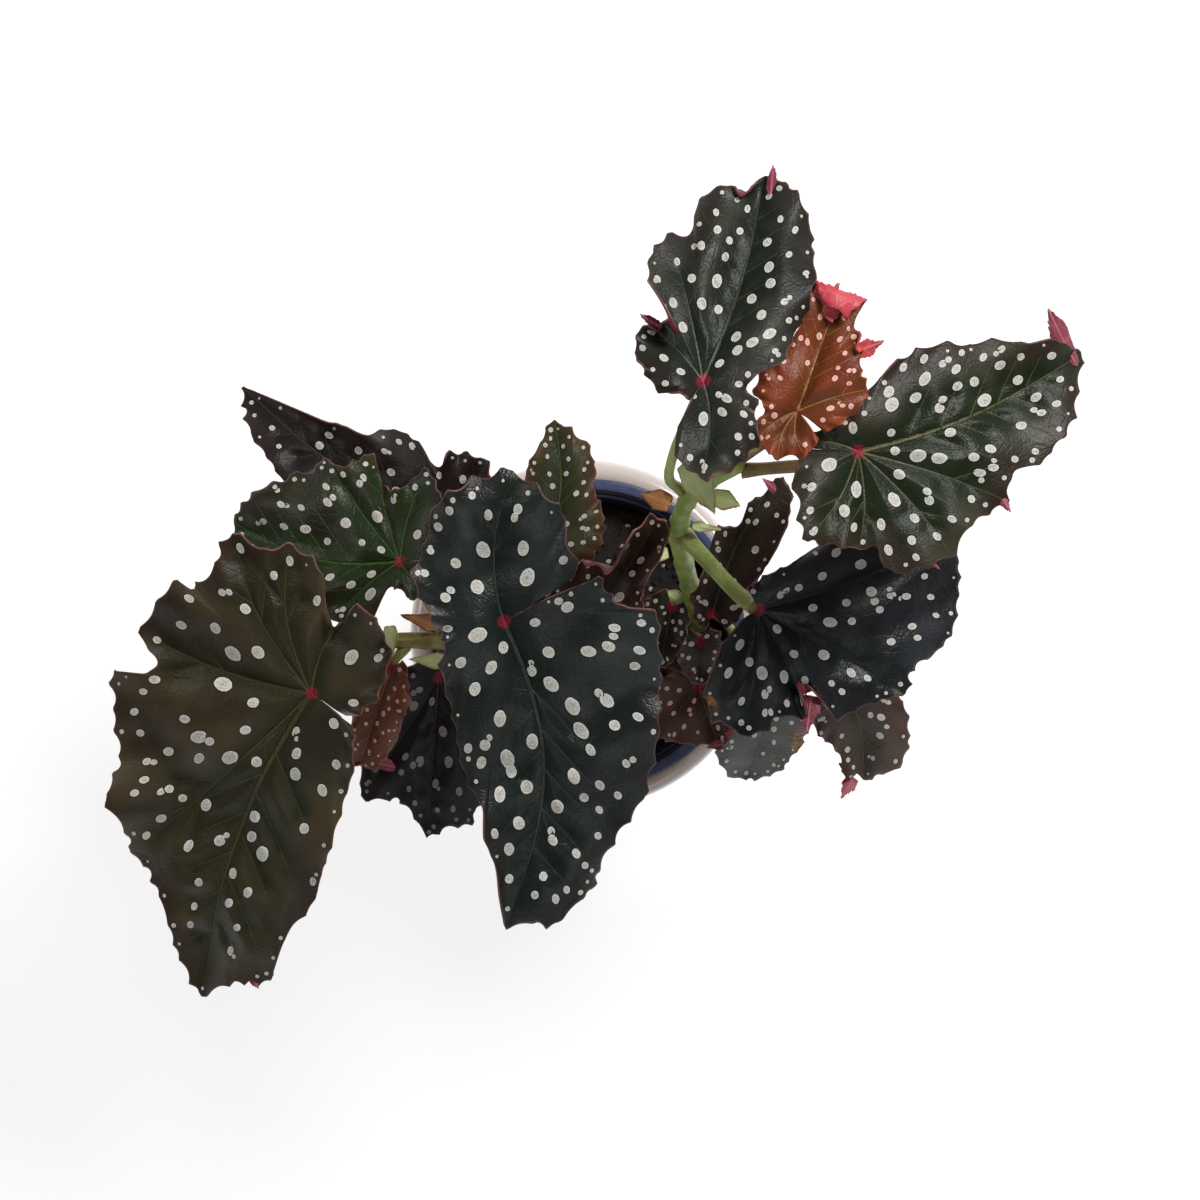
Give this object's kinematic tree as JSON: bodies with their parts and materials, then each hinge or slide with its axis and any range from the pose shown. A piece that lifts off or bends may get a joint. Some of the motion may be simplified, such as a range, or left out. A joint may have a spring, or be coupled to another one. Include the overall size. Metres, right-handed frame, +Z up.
{
  "type": "potted begonia",
  "caption": "Cane begonia with silver-spotted angel-wing leaves on petioles, in a plastic grow pot inside a cream glazed ceramic pot.",
  "frame": {"origin": "centre of the ceramic pot's flat base, on the surface that it stands on", "axes": "+Z up out of the pot; +X towards the taller cane with the wide spotted leaves, away from the largest leaf; +Y towards the highest leaf"},
  "size_m": [0.347, 0.2942, 0.369],
  "materials": {
    "ceramic": "glossy cream glaze with a faint pink cast",
    "liner": "navy moulded plastic, satin",
    "soil": "dark damp potting mix, stands in for soil",
    "cane": "olive green cane, satin",
    "petiole": "juicy light green stalk, satin",
    "dark_leaf": "blue-black leaf with silver spots, semi-gloss",
    "brown_leaf": "brown-green leaf with silver spots, semi-gloss",
    "green_leaf": "green leaf with silver spots, semi-gloss",
    "young_leaf": "rust orange young leaf with pink spots, semi-gloss",
    "stipule": "pale green papery scale",
    "dry_stipule": "dried brown papery scale"
  },
  "bodies": {
    "root": {"ceramic_pot": "ceramic", "grow_pot": "liner", "soil": "soil", "cane_right": "cane", "cane_left": "cane", "cane_middle": "cane", "leaf_left_large": "brown_leaf", "petiole_left_large": "petiole", "leaf_left_upper": "green_leaf", "petiole_left_upper": "petiole", "leaf_back_left": "brown_leaf", "petiole_back_left": "petiole", "leaf_centre": "dark_leaf", "petiole_centre": "petiole", "leaf_back_olive": "green_leaf", "petiole_back_olive": "petiole", "leaf_inner_brown": "brown_leaf", "petiole_inner_brown": "petiole", "leaf_top": "dark_leaf", "petiole_top": "petiole", "leaf_young_orange": "young_leaf", "petiole_young_orange": "petiole", "leaf_right_upper": "dark_leaf", "petiole_right_upper": "petiole", "leaf_right_lower": "dark_leaf", "petiole_right_lower": "petiole", "leaf_front_taupe": "brown_leaf", "petiole_front_taupe": "petiole", "leaf_front_grey": "dark_leaf", "petiole_front_grey": "petiole", "leaf_hooked_brown": "brown_leaf", "petiole_hooked_brown": "petiole", "leaf_low_inner": "brown_leaf", "petiole_low_inner": "petiole", "leaf_low_speckled": "green_leaf", "petiole_low_speckled": "petiole", "leaf_low_grey": "brown_leaf", "petiole_low_grey": "petiole", "leaf_young_rust": "young_leaf", "petiole_young_rust": "petiole", "leaf_left_low": "dark_leaf", "petiole_left_low": "petiole", "stipule_upper_broad": "stipule", "stipule_upper_small": "stipule", "stipule_crown": "stipule", "stipule_dry_wide": "dry_stipule", "stipule_pale_hook": "stipule", "stipule_dry_left": "dry_stipule", "stipule_pale_left": "stipule", "stipule_left_tip": "stipule", "stipule_low_red": "stipule", "stipule_low_olive": "stipule", "stipule_mid_gold": "stipule"}
  },
  "joints": []
}
